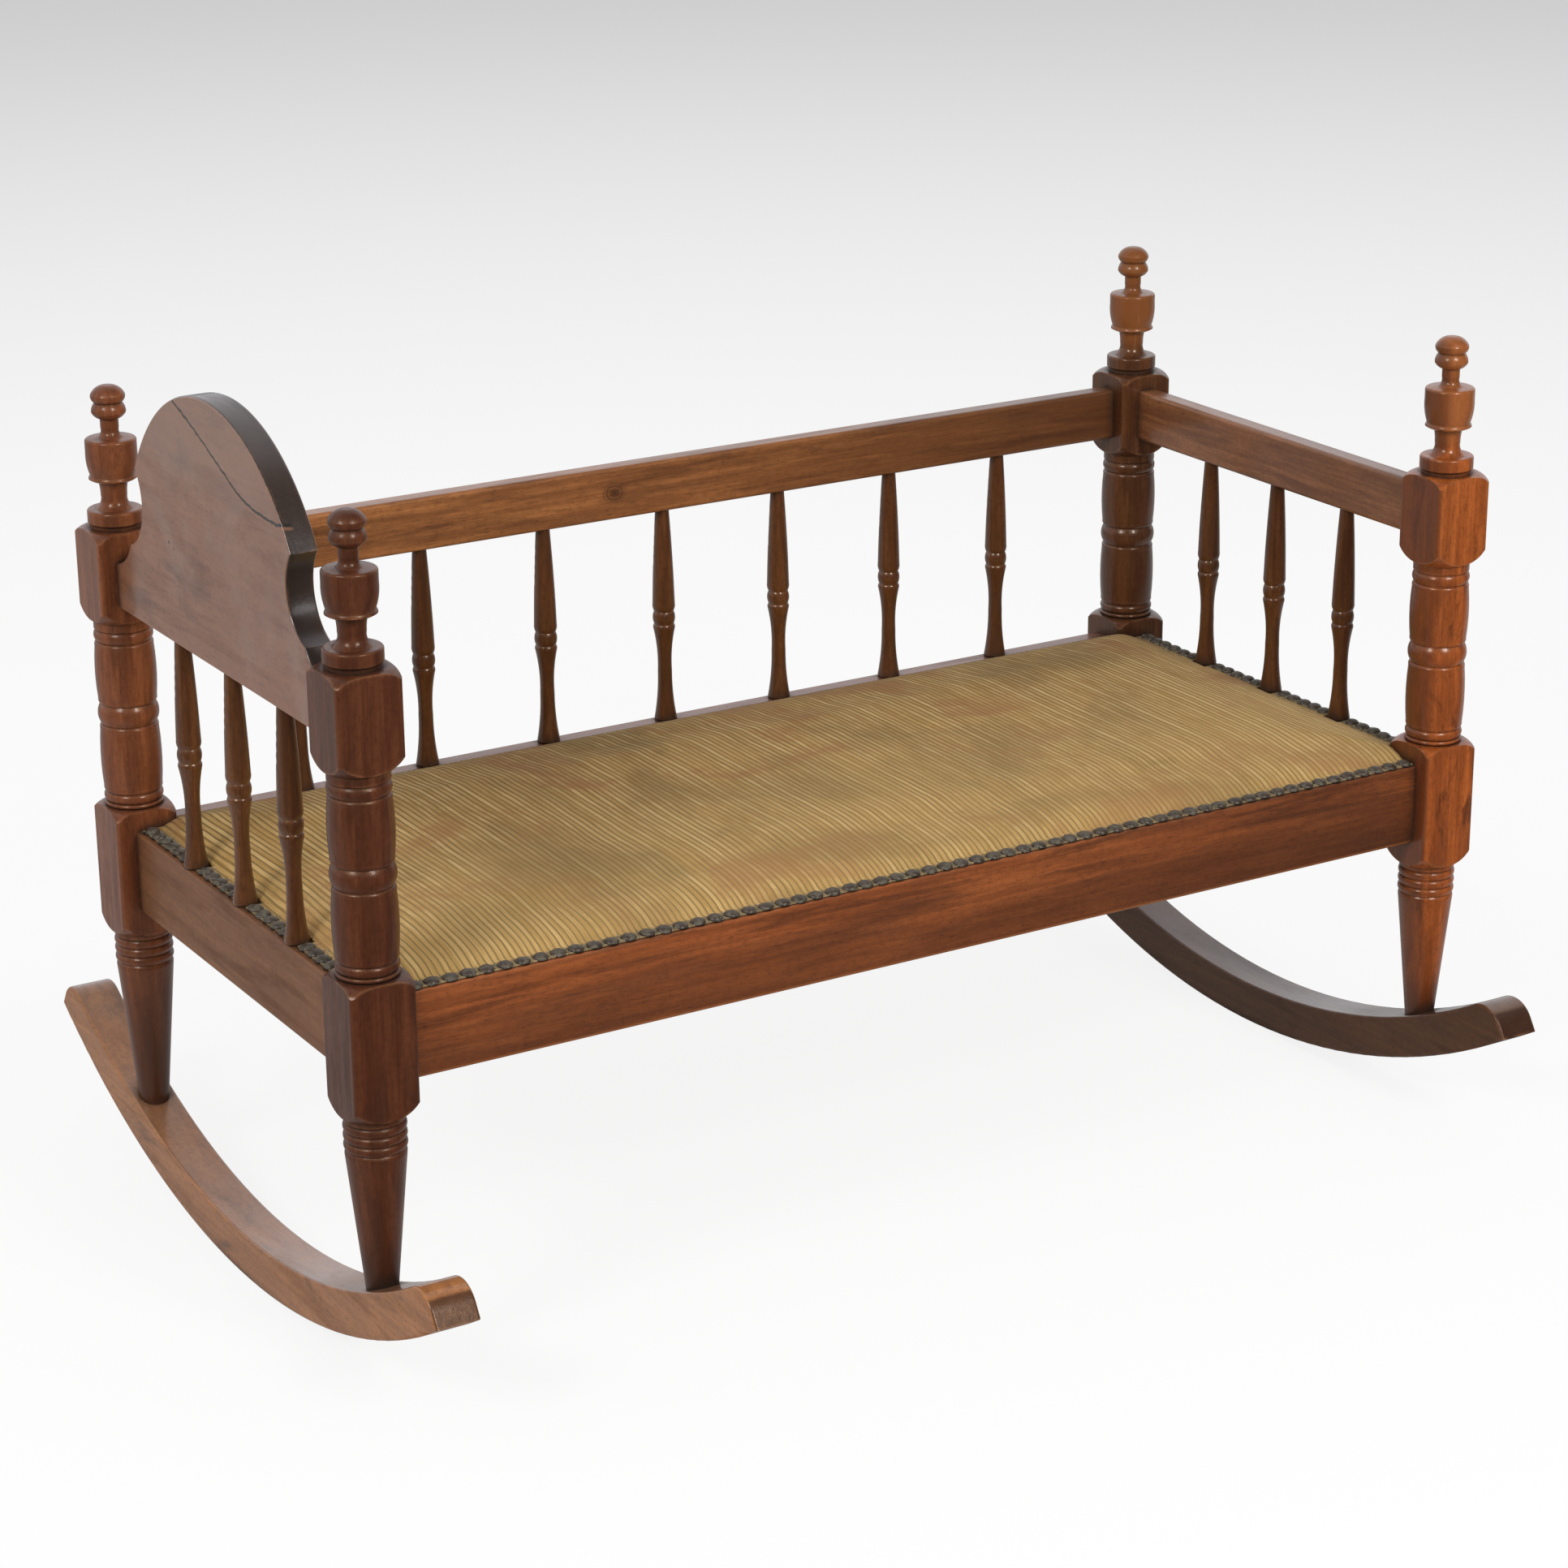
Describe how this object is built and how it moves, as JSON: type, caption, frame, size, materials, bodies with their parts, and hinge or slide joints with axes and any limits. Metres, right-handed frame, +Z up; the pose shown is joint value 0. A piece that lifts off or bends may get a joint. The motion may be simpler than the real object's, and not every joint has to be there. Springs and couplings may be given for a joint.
{
  "type": "rocking cradle bench",
  "caption": "Low wooden bench on two curved rockers with turned corner posts, spindle sides, an arched headboard, an open front and a padded fabric seat edged with dome nails.",
  "frame": {"origin": "on the floor, under the middle of the bench and of both rockers", "axes": "+X from the head end with the headboard to the foot end, -Y out of the open front, +Z up"},
  "size_m": [0.916, 0.636, 0.6234],
  "materials": {
    "post_wood": "old reddish-brown varnish, worn at the corners",
    "rocker_wood": "old reddish-brown varnish, scuffed",
    "rail_wood": "old reddish-brown varnish, streaky",
    "headboard_wood": "dusty worn varnish",
    "spindle_wood": "old reddish-brown varnish",
    "inner_wood": "bare aged pine",
    "seat_fabric": "ribbed old-gold weave, stained",
    "wadding": "loose cotton wadding",
    "nail_metal": "dark aged enamel",
    "steel": "dull grey"
  },
  "bodies": {
    "root": {"post_head_front": "post_wood", "post_head_back": "post_wood", "post_foot_front": "post_wood", "post_foot_back": "post_wood", "rocker_head": "rocker_wood", "rocker_foot": "rocker_wood", "seat_rail_front": "rail_wood", "seat_rail_back": "rail_wood", "seat_rail_head": "rail_wood", "seat_rail_foot": "rail_wood", "top_rail_back": "rail_wood", "top_rail_foot": "rail_wood", "headboard": "headboard_wood", "spindle_back_1": "spindle_wood", "spindle_back_2": "spindle_wood", "spindle_back_3": "spindle_wood", "spindle_back_4": "spindle_wood", "spindle_back_5": "spindle_wood", "spindle_back_6": "spindle_wood", "spindle_back_7": "spindle_wood", "spindle_head_1": "spindle_wood", "spindle_head_2": "spindle_wood", "spindle_head_3": "spindle_wood", "spindle_foot_1": "spindle_wood", "spindle_foot_2": "spindle_wood", "spindle_foot_3": "spindle_wood", "cleat_front": "inner_wood", "cleat_back": "inner_wood", "seat_board_1": "inner_wood", "seat_board_2": "inner_wood", "seat_board_3": "inner_wood", "seat_board_4": "inner_wood", "seat_board_5": "inner_wood", "seat_board_6": "inner_wood", "seat_cover": "seat_fabric", "seat_wadding": "wadding", "dome_nails_front": "nail_metal", "dome_nails_head": "nail_metal", "dome_nails_foot": "nail_metal", "back_tacks": "steel", "board_nails": "steel", "cleat_screws": "steel"}
  },
  "joints": []
}
